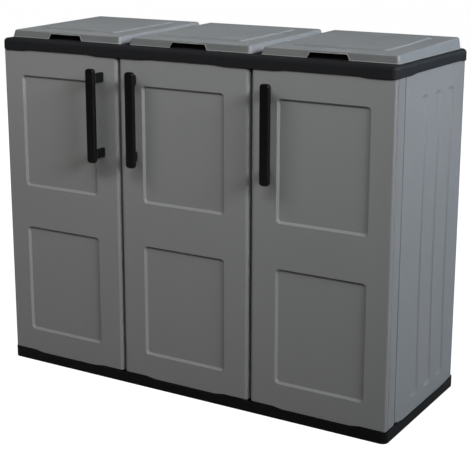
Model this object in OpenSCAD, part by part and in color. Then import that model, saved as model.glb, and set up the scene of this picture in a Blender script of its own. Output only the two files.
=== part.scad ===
// Three-compartment recycling cabinet in injection-moulded plastic.
// Origin: centre of the underside of the base. +X is to the right, -Y is the front, +Z is up.

/* [Cabinet] */
// Width of the base and the top frame
cab_w = 1020; // [960:5:1100]
// Depth of the base and the top frame
cab_d = 390; // [370:5:430]
// Height of the flat top of the frame above the floor
body_h = 800; // [760:5:860]
// Radius of the upright corners of the base and the top frame
corner_r = 14; // [11:1:18]
// Distance between the middles of the two dividers
middle_w = 345; // [335:1:360]

/* [Base and top frame] */
// Height of the base under the middle of a door
base_h = 22; // [18:1:30]
// Height of the top frame over the middle of a door
rail_h = 23.5; // [20:0.5:30]
// Extra height of the base beside the door edges
base_shoulder = 3.5; // [2:0.5:5]
// Extra height of the top frame beside the door edges
rail_shoulder = 2.5; // [1.5:0.5:4]
// Half length of the lower stretch between two shoulders of a door
relief_half = 97; // [80:1:110]
// Length of the slope from a shoulder to the lower stretch
relief_slope = 24; // [14:1:34]
// Thickness of the outer walls and lips of the base and the top frame
lip_t = 2.5; // [2:0.1:3.5]
// Thickness of the floor and of the top skin
plate_t = 3.5; // [2.5:0.1:4.5]
// Thickness of stiffening ribs
rib_t = 2.6; // [2:0.1:3.5]
// Radius along the top edge of the frame
rail_fillet = 9; // [5:0.5:10]
// Radius of the bosses that hold door pins
boss_r = 9; // [7.5:0.5:10]

/* [Panels] */
// Thickness of the side panels
side_t = 18; // [14:1:22]
// Thickness of the back panels
back_t = 16; // [12:1:20]
// Thickness of the dividers
divider_t = 18; // [14:1:22]
// Thickness of the skin of panels
skin_t = 3; // [2.4:0.1:4]
// Width of a flute at its ends
flute_w = 37; // [28:1:44]
// Distance between the middles of two flutes
flute_pitch = 73; // [60:1:80]
// Depth of a flute
flute_depth = 3; // [1.5:0.5:4]
// Width of the sloping wall along a flute's sides
flute_slope = 4; // [1:0.5:6]
// Height of the sloping wall at a flute's ends
flute_end_slope = 8; // [3:0.5:12]
// How far each long edge of a flute bows inwards at half height
flute_waist = 9; // [4:1:11]
// Height of the lower end of the flutes above the base
flute_low = 33; // [25:1:60]
// Distance from the upper end of the flutes to the top frame
flute_high = 50; // [30:1:80]
// How far the middle side flute lies behind the middle of its panel
flute_shift = 7; // [0:1:10]

/* [Doors] */
// Thickness of a door
door_t = 46; // [42:1:50]
// How far the door faces lie behind the front of the base
door_inset = 4; // [3.5:0.5:6]
// Gap between two doors
door_gap = 5; // [4:0.5:8]
// Gap between a door and the panels behind it
door_back_gap = 3; // [2:0.5:6]
// Gap above and below a door
door_play = 1.2; // [0.8:0.1:2]
// Radius of the upright front edges between the doors
door_edge_r = 9; // [5:0.5:10]
// Radius of the upright front edges at the cabinet's corners
door_corner_r = 5; // [3:0.5:9]
// Width of the sunk fields of a door
field_w = 216; // [190:1:220]
// Distance from a door's outer edge at the cabinet's corner to the fields
field_edge = 53; // [48:1:60]
// Height of the lower edge of the lower field above the floor
field_low = 81; // [70:1:100]
// Height of the flat band between the two fields
field_band = 101; // [80:1:120]
// Distance from the top of a door to its upper field
field_top = 57.8; // [45:0.1:75]
// How much higher the upper field is than the lower one
field_more = 5; // [0:1:20]
// Depth of the fields
field_depth = 5; // [3:0.5:7]
// Width of the sloping wall round a field
field_slope = 5; // [3:0.5:8]
// Corner radius of the fields
field_r = 9; // [6:0.5:14]
// Distance of the seam on a door's outer side from the door's face
seam_in = 9; // [6:0.5:14]
// Width of that seam
seam_w = 2.5; // [1:0.5:4]
// Depth of that seam
seam_d = 1; // [0.5:0.1:1.5]
// Distance of the door pivot from the door's hinge edge and from its face
pivot_in = 11; // [10:0.5:13]
// Radius of the door pins
pivot_r = 4; // [3:0.5:5]

/* [Handles] */
// Length of a handle bar
bar_h = 216; // [180:1:240]
// Width of a handle bar
bar_w = 23; // [18:1:28]
// Depth of a handle bar
bar_d = 12; // [10:1:16]
// Distance from the top of a door to the middle of its handle
bar_down = 132.8; // [120:0.1:150]
// Distance from the free edge of a door to the middle of its bar
bar_edge = 52; // [48:1:60]
// Distance from the door face to the middle of the bar
bar_out = 31; // [26:1:40]
// Distance between the middles of the two arms
arm_pitch = 174; // [140:1:180]
// Height of an arm
arm_h = 22; // [16:1:26]
// Thickness of an arm
arm_t = 9; // [7:0.5:12]
// How far an arm stands out beside the bar
arm_proud = 2; // [1:0.5:4]
// Radius of the handle screws
screw_r = 2; // [1.5:0.25:2.5]

/* [Lids] */
// Width of a lid at its lower edge
lid_w = 317.5; // [300:0.5:322]
// Distance between the middles of two lids
lid_pitch = 342; // [334:1:346]
// Distance from the front of the frame to the lids
lid_front = 28; // [22:1:34]
// Distance from the back of the frame to the lids
lid_back = 21; // [18:1:26]
// Height of the lid at its front
lid_front_h = 17.5; // [15:0.5:20]
// Height of the lid at its back
lid_back_h = 26; // [21:0.5:30]
// How far the lid walls lean inwards
lid_draft = 2.5; // [1.5:0.5:5]
// Wall thickness of the lids
lid_t = 2.6; // [2:0.1:3.2]
// Radius of the lid's upright corners
lid_corner_r = 7; // [6:0.5:10]
// Radius of the lid's outer edges
lid_edge_r = 5; // [1.5:0.5:5]
// Distance from the lid's edge to its raised field
crown_in = 46; // [36:1:60]
// Height of the raised field
crown_h = 3; // [1.5:0.5:4]
// Width of the slope round the raised field
crown_slope = 5; // [3:1:8]
// Width of the finger notch at its lower edge
notch_w = 99; // [80:1:110]
// Height of the finger notch
notch_h = 12; // [9:0.5:13]
// Height of the lid pivot above the top of the frame
hinge_up = 7; // [6.5:0.5:8]
// Radius of the hinge eyes
eye_r = 5.4; // [4.5:0.1:5.6]
// Radius of the lid pins
lid_pin_r = 2.5; // [2:0.25:3]
// Distance from the middle of a lid to each of its hinge eyes
eye_out = 95; // [70:1:120]
// Width of a hinge eye on the lid
eye_w = 24; // [16:1:30]
// Width of a hinge lug on the frame
lug_w = 10; // [7:1:14]

/* [Openings and bag rings] */
// Width of an opening in the top frame
mouth_w = 280; // [260:1:284]
// Distance from a lid's front to the opening
mouth_front = 20; // [17:1:26]
// Distance from the opening to a lid's back
mouth_back = 19; // [17:1:26]
// Height of the collar round the opening above the frame
collar_up = 6; // [4:0.5:8]
// Thickness of the collar
collar_t = 3; // [2.5:0.1:4]
// Thickness of a bag ring
ring_t = 2.5; // [2:0.1:3.5]
// Depth of a bag ring below its flange
ring_h = 20; // [12:1:30]

/* [Hidden] */

// Facets of round parts, of shapes that are hulled, and of the long soft corners
$fn = 64;
hull_fn = 32;
fillet_turn = 22.5;

// Clearances: between seated parts, round a fixed pin and round a turning pin
fit = 0.3;
fixed_fit = 0.05;
turn_fit = 0.1;
// How far a cut runs past the face that it opens
over = 1;

// Colours
grey = [0.43, 0.44, 0.44];
black = [0.07, 0.07, 0.075];
steel = [0.62, 0.63, 0.65];
ferrite = [0.2, 0.2, 0.21];

// Levels
rail_z = body_h - rail_h;
shoulder_low = base_h + base_shoulder;
shoulder_high = rail_z - rail_shoulder;
door_z0 = shoulder_low + door_play;
door_z1 = shoulder_high - door_play;
under_top = body_h - plate_t;

// Places in plan
front_y = -cab_d / 2;
back_y = cab_d / 2;
door_y = front_y + door_inset;
door_back_y = door_y + door_t;
panel_y = door_back_y + door_back_gap;
shell_x = cab_w / 2 - lip_t - fit;
shell_y = back_y - lip_t - fit;
back_in_y = shell_y - back_t;
half_pitch = middle_w / 2;
ledge_z = under_top - rail_fillet;
panel_h = ledge_z - fit - base_h;
divider_h = under_top - fit - base_h;
back_edge = shell_x - side_t - fit;
back_x = [-back_edge, -half_pitch + fit / 2, half_pitch + fit / 2, back_edge + fit];
side_relief_half = (cab_d - 2 * corner_r) / 2 - 2 * relief_slope;
relief_through = 4 * lip_t;

// How many ribs stand side by side in the base, and into how many cells ribs divide panels and doors
base_ribs_x = 15;
base_ribs_y = 7;
panel_cells_x = 3;
panel_cells_z = 6;
door_cells_x = 3;
door_cells_z = 7;

// Flutes
flute_h = rail_z - flute_high - base_h - flute_low;
flute_r = flute_w / 4;
flute_cut = flute_depth + over;
flute_floor = [flute_w - 2 * flute_slope, flute_h - 2 * flute_end_slope];
flute_scale = [
    1 + 2 * flute_slope / flute_floor[0] * flute_cut / flute_depth,
    1 + 2 * flute_end_slope / flute_floor[1] * flute_cut / flute_depth
];
flute_steps = 8;

// Doors, left to right: left edge, right edge, hinge side (-1 left, 1 right)
door_x0 = [-shell_x, -half_pitch + door_gap / 2, half_pitch + door_gap / 2];
door_x1 = [-half_pitch - door_gap / 2, half_pitch - door_gap / 2, shell_x];
door_hand = [-1, 1, 1];
door_mid = [-(shell_x + half_pitch) / 2, 0, (shell_x + half_pitch) / 2];
pivot_y = door_y + pivot_in;
field_mid = [
    -shell_x + field_edge + field_w / 2, 0, shell_x - field_edge - field_w / 2
];
field_low_h = (door_z1 - field_top - field_low - field_band - field_more) / 2;
field_high_h = field_low_h + field_more;
field_high = field_low + field_low_h + field_band;
function pivot_x(i) = door_hand[i] > 0 ? door_x1[i] - pivot_in : door_x0[i] + pivot_in;
function free_x(i) = door_hand[i] > 0 ? door_x0[i] : door_x1[i];
function bar_x(i) = free_x(i) + door_hand[i] * bar_edge;
function screw_x(i) = bar_x(i) - door_hand[i] * (bar_w / 2 + arm_proud - arm_t / 2);

// Door pins: how deep they sit in the base and the frame, and in the door
pin_seat = 14;
pin_reach = 20;
collar_r = 7;
block_w = 2 * pivot_in;
block_h = 30;

// Handle screws and the roundness of the bars
screw_head_r = 4;
screw_head_t = 3;
screw_boss_r = 6;
screw_boss_t = 6;
screw_in_arm = 16;
bar_end_r = 7;
bar_side_r = 4;
bar_z = door_z1 - bar_down;
arm_z = [bar_z - arm_pitch / 2, bar_z + arm_pitch / 2];
head_y = door_y + skin_t + screw_boss_t - over;

// Catches
magnet_w = 16;
magnet_h = 40;
magnet_gap = 0.4;
magnet_back = 12;
strike_t = 1.2;
strike_h = 36;
strike_w = 14;
catch_up = 60;
catch_z = bar_z + catch_up;
magnet_y = door_back_y - fit + strike_t + magnet_gap;

// Lids and openings
lid_x = [-lid_pitch, 0, lid_pitch];
lid_y0 = front_y + lid_front;
lid_y1 = back_y - lid_back;
lid_z = body_h + fit;
hinge_y = lid_y1 + eye_r + 2 * fit;
hinge_z = body_h + hinge_up;
notch_slant = 6.5;
notch_top_w = notch_w - 2 * notch_slant;
mouth_y0 = lid_y0 + mouth_front;
mouth_y1 = lid_y1 - mouth_back;
mouth_my = (mouth_y0 + mouth_y1) / 2;
mouth_d = mouth_y1 - mouth_y0;
mouth_r = 12;
ring_gap = 1;
lug_gap = 0.5;
pin_half = eye_w / 2 + lug_gap + lug_w;

// Base screws, how far they reach into the panels, and the bosses that take them
base_head_h = 3;
base_head_r = 5;
base_screw_r = 2.5;
base_screw_up = 14;
base_screw_in = 22;
base_boss_r = 8;
panel_boss_r = 6;
panel_boss_h = base_screw_up + 4;
base_screw_y = [panel_y + base_screw_in, back_in_y - base_screw_in];
base_screw_x = [-shell_x + side_t / 2, -half_pitch, half_pitch, shell_x - side_t / 2];

// Small black corner block of the base that shows beside the outer doors
nib_d = 12;
nib_h = 8;

// Flat shape with round corners, centred
module rounded_rect(w, d, r) {
    square([w - 2 * r, d], center = true);
    square([w, d - 2 * r], center = true);
    for (x = [-1, 1], y = [-1, 1])
        translate([x * (w / 2 - r), y * (d / 2 - r)]) circle(r);
}

// Upright block with round corners
module slab(w, d, h, r) {
    linear_extrude(h) rounded_rect(w, d, r);
}

// Block with round upright corners and a round top edge
module filleted_slab(w, d, h, r, f) {
    hull() for (x = [-1, 1], y = [-1, 1]) translate([x * (w / 2 - r), y * (d / 2 - r), 0]) {
        cylinder(h = h - f, r = r, $fn = hull_fn);
        for (a = [fillet_turn : fillet_turn : 90])
            translate([0, 0, h - f * (1 - sin(a)) - fit])
                cylinder(h = fit, r = r - f * (1 - cos(a)), $fn = hull_fn);
    }
}

// Trapezium in X and Z that lowers a lip between two shoulders, run along Y
module relief(half, rise) {
    rotate([90, 0, 0]) linear_extrude(relief_through, center = true) polygon([
        [-half + relief_slope / 2, 0], [half - relief_slope / 2, 0],
        [half + relief_slope / 2, rise], [half + relief_slope / 2, rise + over],
        [-half - relief_slope / 2, rise + over], [-half - relief_slope / 2, rise]
    ]);
}

// The reliefs of all four sides, opening upwards from the level z = 0
module reliefs(rise) {
    for (x = door_mid, y = [front_y, back_y]) translate([x, y, 0]) relief(relief_half, rise);
    for (s = [-1, 1])
        translate([s * cab_w / 2, relief_slope, 0]) rotate([0, 0, 90]) relief(side_relief_half, rise);
}

// Straight ribs across a box, nx of them along X and ny along Y
module rib_grid(w, d, h, nx, ny) {
    for (i = [0 : nx - 1])
        translate([-w / 2 + w * (i + 0.5) / nx - rib_t / 2, -d / 2, 0]) cube([rib_t, d, h]);
    for (j = [0 : ny - 1])
        translate([-w / 2, -d / 2 + d * (j + 0.5) / ny - rib_t / 2, 0]) cube([w, rib_t, h]);
}

// Space inside outer walls of thickness t
module inner_slab(t, h) {
    slab(cab_w - 2 * t, cab_d - 2 * t, h, corner_r - t);
}

module base_tray() {
    color(black) difference() {
        union() {
            difference() {
                slab(cab_w, cab_d, shoulder_low, corner_r);
                translate([0, 0, base_h]) inner_slab(lip_t, base_shoulder + over);
                translate([0, 0, -over]) inner_slab(lip_t, base_h - plate_t + over);
                translate([0, 0, base_h]) reliefs(base_shoulder);
            }
            rib_grid(cab_w - lip_t, cab_d - lip_t, base_h - over, base_ribs_x, base_ribs_y);
            for (i = [0 : 2]) translate([pivot_x(i), pivot_y, 0]) cylinder(h = base_h, r = boss_r);
            for (x = base_screw_x, y = base_screw_y)
                translate([x, y, 0]) cylinder(h = base_h - over, r = base_boss_r);
            for (s = [-1, 1])
                translate([s * (shell_x - side_t / 2), panel_y + nib_d / 2, base_h + (nib_h - over) / 2])
                    cube([side_t, nib_d, nib_h + over], center = true);
        }
        for (i = [0 : 2]) translate([pivot_x(i), pivot_y, base_h - pin_seat])
            cylinder(h = 2 * pin_seat, r = pivot_r + fixed_fit);
        for (x = base_screw_x, y = base_screw_y) translate([x, y, -over]) {
            cylinder(h = base_h + 2 * over, r = base_screw_r + fixed_fit);
            cylinder(h = base_head_h + fit + over, r = base_head_r + fit);
        }
    }
}

// Upright lug of the frame that carries a lid pin, centred on the pin
module lug() {
    rotate([0, 90, 0]) cylinder(h = lug_w, r = eye_r, center = true);
    translate([-lug_w / 2, -eye_r, -hinge_up - over]) cube([lug_w, 2 * eye_r, hinge_up + over]);
}

module top_frame() {
    color(black) difference() {
        union() {
            difference() {
                translate([0, 0, shoulder_high])
                    filleted_slab(cab_w, cab_d, body_h - shoulder_high, corner_r, rail_fillet);
                translate([0, 0, shoulder_high - over])
                    inner_slab(lip_t, under_top - shoulder_high - rail_fillet + over);
                translate([0, 0, shoulder_high - over])
                    inner_slab(rail_fillet, under_top - shoulder_high + over);
                translate([0, 0, rail_z]) mirror([0, 0, 1]) reliefs(rail_shoulder);
            }
            for (x = lid_x)
                translate([x, mouth_my, rail_z])
                    slab(mouth_w + 2 * collar_t, mouth_d + 2 * collar_t, rail_h + collar_up,
                         mouth_r + collar_t);
            for (y = [pivot_y, panel_y - rib_t - fit])
                translate([-cab_w / 2 + rail_fillet - over, y, rail_z])
                    cube([cab_w - 2 * rail_fillet + 2 * over, rib_t, rail_h - plate_t / 2]);
            for (i = [0 : 2])
                translate([pivot_x(i), pivot_y, rail_z]) cylinder(h = rail_h - plate_t / 2, r = boss_r);
            for (x = lid_x, e = [-1, 1], s = [-1, 1])
                translate([x + e * eye_out + s * (pin_half - lug_w / 2), hinge_y, hinge_z]) lug();
        }
        for (x = lid_x)
            translate([x, mouth_my, rail_z - over])
                slab(mouth_w, mouth_d, rail_h + collar_up + 2 * over, mouth_r);
        for (i = [0 : 2]) translate([pivot_x(i), pivot_y, rail_z - over])
            cylinder(h = pin_seat + over, r = pivot_r + fixed_fit);
        translate([0, hinge_y, hinge_z]) rotate([0, 90, 0])
            cylinder(h = cab_w, r = lid_pin_r + fixed_fit, center = true);
    }
}

// Outline of a flute's floor, standing in X and Y, centred
function flute_half(t) = flute_floor[0] / 2 - flute_waist * (1 - pow(t, 2)) * flute_floor[0] / flute_w;
module flute_outline() {
    intersection() {
        polygon(concat(
            [for (i = [-flute_steps : flute_steps])
                [flute_half(i / flute_steps), flute_floor[1] / 2 * i / flute_steps]],
            [for (i = [-flute_steps : flute_steps])
                [-flute_half(i / flute_steps), -flute_floor[1] / 2 * i / flute_steps]]
        ));
        rounded_rect(flute_floor[0], flute_floor[1], flute_r);
    }
}

// Moulded panel with its outer face at y = 0, facing -Y, from x = 0 and z = 0
module fluted_panel(w, t, flute_x) {
    difference() {
        union() {
            cube([w, skin_t, panel_h]);
            difference() {
                cube([w, t, panel_h]);
                translate([skin_t, -over, skin_t])
                    cube([w - 2 * skin_t, t + 2 * over, panel_h - 2 * skin_t]);
            }
            for (i = [1 : panel_cells_x - 1])
                translate([w * i / panel_cells_x - rib_t / 2, 0, 0]) cube([rib_t, t, panel_h]);
            for (j = [1 : panel_cells_z - 1])
                translate([0, 0, panel_h * j / panel_cells_z - rib_t / 2]) cube([w, t, rib_t]);
            for (x = flute_x)
                translate([x - flute_w / 2 - skin_t, 0, flute_low - skin_t])
                    cube([flute_w + 2 * skin_t, skin_t + flute_depth, flute_h + 2 * skin_t]);
        }
        for (x = flute_x)
            translate([x, flute_depth, flute_low + flute_h / 2]) rotate([90, 0, 0])
                linear_extrude(flute_cut, scale = flute_scale, slices = 1) flute_outline($fn = hull_fn);
    }
}

// Cylinders at the two base screws of a panel whose middle lies at x
module screw_places(x, h, r) {
    for (y = base_screw_y) translate([x, y, base_h]) cylinder(h = h, r = r);
}

// The rear edge of a side panel is rounded like the frame that it stands in, and stiffened by a post
module side_panel(s) {
    depth = shell_y - panel_y;
    flute_mid = depth / 2 + flute_shift;
    mid_x = s * (shell_x - side_t / 2);
    difference() {
        union() {
            intersection() {
                translate([0, 0, base_h]) inner_slab(lip_t + fit, panel_h);
                union() {
                    translate([s * shell_x, s > 0 ? panel_y : shell_y, base_h]) rotate([0, 0, s * 90])
                        fluted_panel(depth, side_t, [
                            for (k = [-1 : 1]) (s > 0 ? flute_mid : depth - flute_mid) + k * flute_pitch
                        ]);
                    translate([s * (shell_x - corner_r / 2), shell_y - corner_r / 2, base_h])
                        cylinder(h = panel_h, r = corner_r / 2 + over);
                }
            }
            screw_places(mid_x, panel_boss_h, panel_boss_r);
        }
        screw_places(mid_x, base_screw_up + fit, base_screw_r + fixed_fit);
        translate([mid_x, panel_y + nib_d / 2, base_h + nib_h / 2])
            cube([side_t + 2 * over, nib_d + 2 * fit, nib_h + 2 * fit], center = true);
    }
}

module side_panel_left() { color(grey) side_panel(-1); }
module side_panel_right() { color(grey) side_panel(1); }

module divider(x) {
    depth = back_in_y - fit - panel_y;
    difference() {
        union() {
            translate([x - divider_t / 2, panel_y, base_h]) {
                translate([(divider_t - skin_t) / 2, 0, 0]) cube([skin_t, depth, divider_h]);
                for (y = [0, depth - skin_t]) translate([0, y, 0]) cube([divider_t, skin_t, divider_h]);
                for (j = [0 : panel_cells_z])
                    translate([0, 0, (divider_h - skin_t) * j / panel_cells_z])
                        cube([divider_t, depth, skin_t]);
            }
            screw_places(x, panel_boss_h, panel_boss_r);
        }
        screw_places(x, base_screw_up + fit, base_screw_r + fixed_fit);
    }
}

module divider_left() { color(grey) divider(-half_pitch); }
module divider_right() { color(grey) divider(half_pitch); }

// Back panels meet behind the dividers
module back_panel(i) {
    w = back_x[i + 1] - back_x[i] - fit;
    translate([back_x[i] + w, shell_y, base_h]) rotate([0, 0, 180])
        fluted_panel(w, back_t, [for (k = [-1 : 1]) w / 2 + k * flute_pitch]);
}

module back_panel_left() { color(grey) back_panel(0); }
module back_panel_middle() { color(grey) back_panel(1); }
module back_panel_right() { color(grey) back_panel(2); }

// Removes the sharp corner at x, y of a flat shape that lies towards sx, sy
module corner_cut(x, y, r, sx, sy) {
    translate([x, y]) mirror([sx < 0 ? 1 : 0, 0]) mirror([0, sy < 0 ? 1 : 0]) difference() {
        translate([-over, -over]) square(r + over);
        translate([r, r]) circle(r);
    }
}

// Plan of a door, with its upright edges rounded
module door_plan(x0, x1, r0, r1) {
    difference() {
        translate([x0, door_y]) square([x1 - x0, door_t]);
        corner_cut(x0, door_y, r0, 1, 1);
        corner_cut(x1, door_y, r1, -1, 1);
        corner_cut(x0, door_back_y, skin_t, 1, -1);
        corner_cut(x1, door_back_y, skin_t, -1, -1);
    }
}

// Sunk field of a door, from the face inwards
module field(x, z, h) {
    hull() {
        translate([x, door_y, z + h / 2]) rotate([90, 0, 0])
            linear_extrude(over) rounded_rect(field_w, h, field_r, $fn = hull_fn);
        translate([x, door_y + field_depth, z + h / 2]) rotate([90, 0, 0])
            linear_extrude(field_depth) rounded_rect(field_w - 2 * field_slope, h - 2 * field_slope,
                                                     field_r - field_slope / 2, $fn = hull_fn);
    }
}

module door(i) {
    x0 = door_x0[i];
    x1 = door_x1[i];
    w = x1 - x0;
    inner_y = door_y + skin_t;
    rib_y = inner_y + door_edge_r / 2;
    rib_back = door_back_y - skin_t;
    h = door_z1 - door_z0;
    difference() {
        union() {
            difference() {
                translate([0, 0, door_z0]) linear_extrude(h)
                    door_plan(x0, x1, i == 0 ? door_corner_r : door_edge_r,
                              i == 2 ? door_corner_r : door_edge_r);
                translate([x0 + skin_t, rib_y, door_z0 + skin_t])
                    cube([w - 2 * skin_t, door_t, h - 2 * skin_t]);
                translate([x0 + door_edge_r, inner_y, door_z0 + skin_t])
                    cube([w - 2 * door_edge_r, door_t, h - 2 * skin_t]);
            }
            // Lower and upper edge between the shoulders
            translate([door_mid[i], door_y + door_inset / 2, door_z0]) mirror([0, 0, 1])
                apron(base_shoulder);
            translate([door_mid[i], door_y + door_inset / 2, door_z1]) apron(rail_shoulder);
            // Walls behind the sunk fields
            for (f = [[field_low, field_low_h], [field_high, field_high_h]])
                translate([field_mid[i] - field_w / 2 - skin_t, inner_y - over, f[0] - skin_t])
                    cube([field_w + 2 * skin_t, field_depth + over, f[1] + 2 * skin_t]);
            // Ribs that carry the liner
            for (k = [1 : door_cells_x - 1])
                translate([x0 + w * k / door_cells_x - rib_t / 2, inner_y - over, door_z0])
                    cube([rib_t, rib_back - inner_y + over, h]);
            for (k = [1 : door_cells_z - 1])
                translate([x0 + over, rib_y, door_z0 + h * k / door_cells_z])
                    cube([w - 2 * over, rib_back - rib_y, rib_t]);
            // Blocks for the pivot pins and bosses for the handle screws
            for (z = [door_z0, door_z1 - block_h])
                translate([pivot_x(i) - block_w / 2 + over, inner_y - over, z])
                    cube([block_w - 2 * over, block_w, block_h]);
            for (z = arm_z) translate([screw_x(i), inner_y + screw_boss_t - over, z])
                rotate([90, 0, 0]) cylinder(h = screw_boss_t, r = screw_boss_r);
        }
        if (i != 1)
            translate([sign(door_mid[i]) * shell_x, door_y + seam_in + seam_w / 2, body_h / 2])
                cube([2 * seam_d, seam_w, body_h], center = true);
        field(field_mid[i], field_low, field_low_h);
        field(field_mid[i], field_high, field_high_h);
        for (z = [door_z0 - over, door_z1 - pin_reach - fit]) translate([pivot_x(i), pivot_y, z])
            cylinder(h = pin_reach + fit + over, r = pivot_r + turn_fit);
        for (z = arm_z) translate([screw_x(i), door_y + block_w, z]) rotate([90, 0, 0])
            cylinder(h = 2 * block_w, r = screw_r + fixed_fit);
    }
}

// Strip along a door's edge that fills the lower stretch between two shoulders
module apron(rise) {
    rotate([90, 0, 0]) linear_extrude(door_inset, center = true) polygon([
        [-relief_half - relief_slope / 2 + 2 * door_play, -over],
        [relief_half + relief_slope / 2 - 2 * door_play, -over],
        [relief_half + relief_slope / 2 - 2 * door_play, 0],
        [relief_half - relief_slope / 2 - 2 * door_play, rise],
        [-relief_half + relief_slope / 2 + 2 * door_play, rise],
        [-relief_half - relief_slope / 2 + 2 * door_play, 0]
    ]);
}

module door_left() { color(grey) door(0); }
module door_middle() { color(grey) door(1); }
module door_right() { color(grey) door(2); }

// Flat inner face of a door
module door_liner(i) {
    translate([door_x0[i] + skin_t + fit, door_back_y - skin_t, door_z0 + skin_t + fit])
        cube([door_x1[i] - door_x0[i] - 2 * skin_t - 2 * fit, skin_t - fit,
              door_z1 - door_z0 - 2 * skin_t - 2 * fit]);
}

module door_liner_left() { color(grey) door_liner(0); }
module door_liner_middle() { color(grey) door_liner(1); }
module door_liner_right() { color(grey) door_liner(2); }

// Upright bar with round edges and ends, centred
module bar() {
    intersection() {
        translate([0, 0, -bar_h / 2]) slab(bar_w, bar_d, bar_h, bar_side_r);
        translate([0, bar_d / 2, 0]) rotate([90, 0, 0]) slab(bar_w, bar_h, bar_d, bar_end_r);
        translate([-bar_w / 2, 0, 0]) rotate([90, 0, 90]) slab(bar_d, bar_h, bar_w, bar_side_r);
    }
}

// Handle: a bar on two arms beside it
module handle(i) {
    bar_y = door_y - bar_out;
    difference() {
        union() {
            translate([bar_x(i), bar_y, bar_z]) bar();
            for (z = arm_z)
                translate([screw_x(i) - arm_t / 2, bar_y, z - arm_h / 2]) cube([arm_t, bar_out, arm_h]);
        }
        for (z = arm_z) translate([screw_x(i), door_y + over, z]) rotate([90, 0, 0])
            cylinder(h = screw_in_arm + over, r = screw_r + fixed_fit);
    }
}

module handle_left() { color(black) handle(0); }
module handle_middle() { color(black) handle(1); }
module handle_right() { color(black) handle(2); }

// Two screws through the door skin into the arms of a handle
module handle_screws(i) {
    for (z = arm_z) translate([screw_x(i), head_y, z]) rotate([90, 0, 0]) {
        cylinder(h = head_y - door_y + screw_in_arm - fit, r = screw_r);
        translate([0, 0, -screw_head_t]) cylinder(h = screw_head_t, r = screw_head_r);
    }
}

module handle_screws_left() { color(steel) handle_screws(0); }
module handle_screws_middle() { color(steel) handle_screws(1); }
module handle_screws_right() { color(steel) handle_screws(2); }

// Catches: a magnet beside a divider for each door, and a strike plate on the liner
function magnet_x(i) = (i == 2 ? half_pitch : -half_pitch)
    + door_hand[i] * (divider_t / 2 + magnet_w / 2);

module catch_magnets() {
    color(ferrite) for (i = [0 : 2])
        translate([magnet_x(i) - magnet_w / 2, magnet_y, catch_z - magnet_h / 2])
            cube([magnet_w, panel_y - magnet_y + magnet_back, magnet_h]);
}

module strike_plate(i) {
    translate([magnet_x(i) - strike_w / 2, door_back_y - fit, catch_z - strike_h / 2])
        cube([strike_w, strike_t, strike_h]);
}

module strike_plate_left() { color(steel) strike_plate(0); }
module strike_plate_middle() { color(steel) strike_plate(1); }
module strike_plate_right() { color(steel) strike_plate(2); }

// Pins of the doors; the lower one has a collar that carries the door
module door_pivot_pins() {
    color(steel) for (i = [0 : 2]) translate([pivot_x(i), pivot_y, 0]) {
        translate([0, 0, base_h - pin_seat])
            cylinder(h = pin_seat + door_z0 - base_h + pin_reach, r = pivot_r);
        translate([0, 0, base_h]) cylinder(h = door_z0 - fit - base_h, r = collar_r);
        translate([0, 0, door_z1 - pin_reach])
            cylinder(h = pin_reach + rail_z - door_z1 + pin_seat - fit, r = pivot_r);
    }
}

// Screws from below through the base into the side panels and the dividers
module base_screws() {
    color(steel) for (x = base_screw_x, y = base_screw_y) translate([x, y, fit]) {
        cylinder(h = base_head_h, r = base_head_r);
        cylinder(h = base_h + base_screw_up - fit, r = base_screw_r);
    }
}

// Block with leaning walls and round edges whose top rises from front to back; its upright corners have
// the radius r and its upper edges the radius edge
module lid_block(inset, front_h, back_h, drop, r, edge) {
    hull() for (x = [-1, 1], e = [[lid_y0, 1, front_h], [lid_y1, -1, back_h]]) {
        translate([x * (lid_w / 2 - inset - r), e[0] + e[1] * (inset + r), lid_z - drop])
            cylinder(h = fit, r = r, $fn = hull_fn);
        translate([x * (lid_w / 2 - inset - lid_draft - r), e[0] + e[1] * (inset + lid_draft + r),
                   body_h + e[2]])
            for (a = [0, 45, 90])
                translate([0, 0, -edge * (1 - sin(a)) - fit])
                    cylinder(h = fit, r = r - edge * (1 - cos(a)), $fn = hull_fn);
    }
}

// Height of the lid's top, above the frame, at a distance from its front
function lid_top(y) = lid_front_h + (lid_back_h - lid_front_h) * (y - lid_y0) / (lid_y1 - lid_y0);

module crown_ring(inset, up) {
    for (x = [-1, 1], y = [lid_y0 + inset + field_r, lid_y1 - inset - field_r])
        translate([x * (lid_w / 2 - inset - field_r), y, body_h + lid_top(y) + up])
            cylinder(h = fit, r = field_r, $fn = hull_fn);
}

module lid(x) {
    translate([x, 0, 0]) difference() {
        union() {
            difference() {
                lid_block(0, lid_front_h, lid_back_h, 0, lid_corner_r, lid_edge_r);
                lid_block(lid_t, lid_front_h - lid_t, lid_back_h - lid_t, 2 * over, lid_corner_r - lid_t,
                          fit);
            }
            hull() {
                crown_ring(crown_in, -lid_t / 2);
                crown_ring(crown_in + crown_slope, crown_h - fit);
            }
            for (e = [-1, 1]) translate([e * eye_out, hinge_y, hinge_z]) rotate([0, 90, 0]) {
                cylinder(h = eye_w, r = eye_r, center = true);
                translate([-eye_r, lid_y1 - hinge_y - lid_t, -eye_w / 2])
                    cube([eye_r + hinge_up - over, hinge_y - lid_y1 + lid_t, eye_w]);
            }
        }
        translate([0, lid_y0 - over, lid_z - over]) rotate([-90, 0, 0]) mirror([0, 1, 0])
            linear_extrude(lid_t + lid_draft + 2 * over) polygon([
                [-notch_w / 2, 0], [notch_w / 2, 0],
                [notch_top_w / 2, notch_h + over], [-notch_top_w / 2, notch_h + over]
            ]);
        translate([0, hinge_y, hinge_z]) rotate([0, 90, 0])
            cylinder(h = lid_w, r = lid_pin_r + turn_fit, center = true);
    }
}

module lid_left() { color(grey) lid(-lid_pitch); }
module lid_middle() { color(grey) lid(0); }
module lid_right() { color(grey) lid(lid_pitch); }

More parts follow.
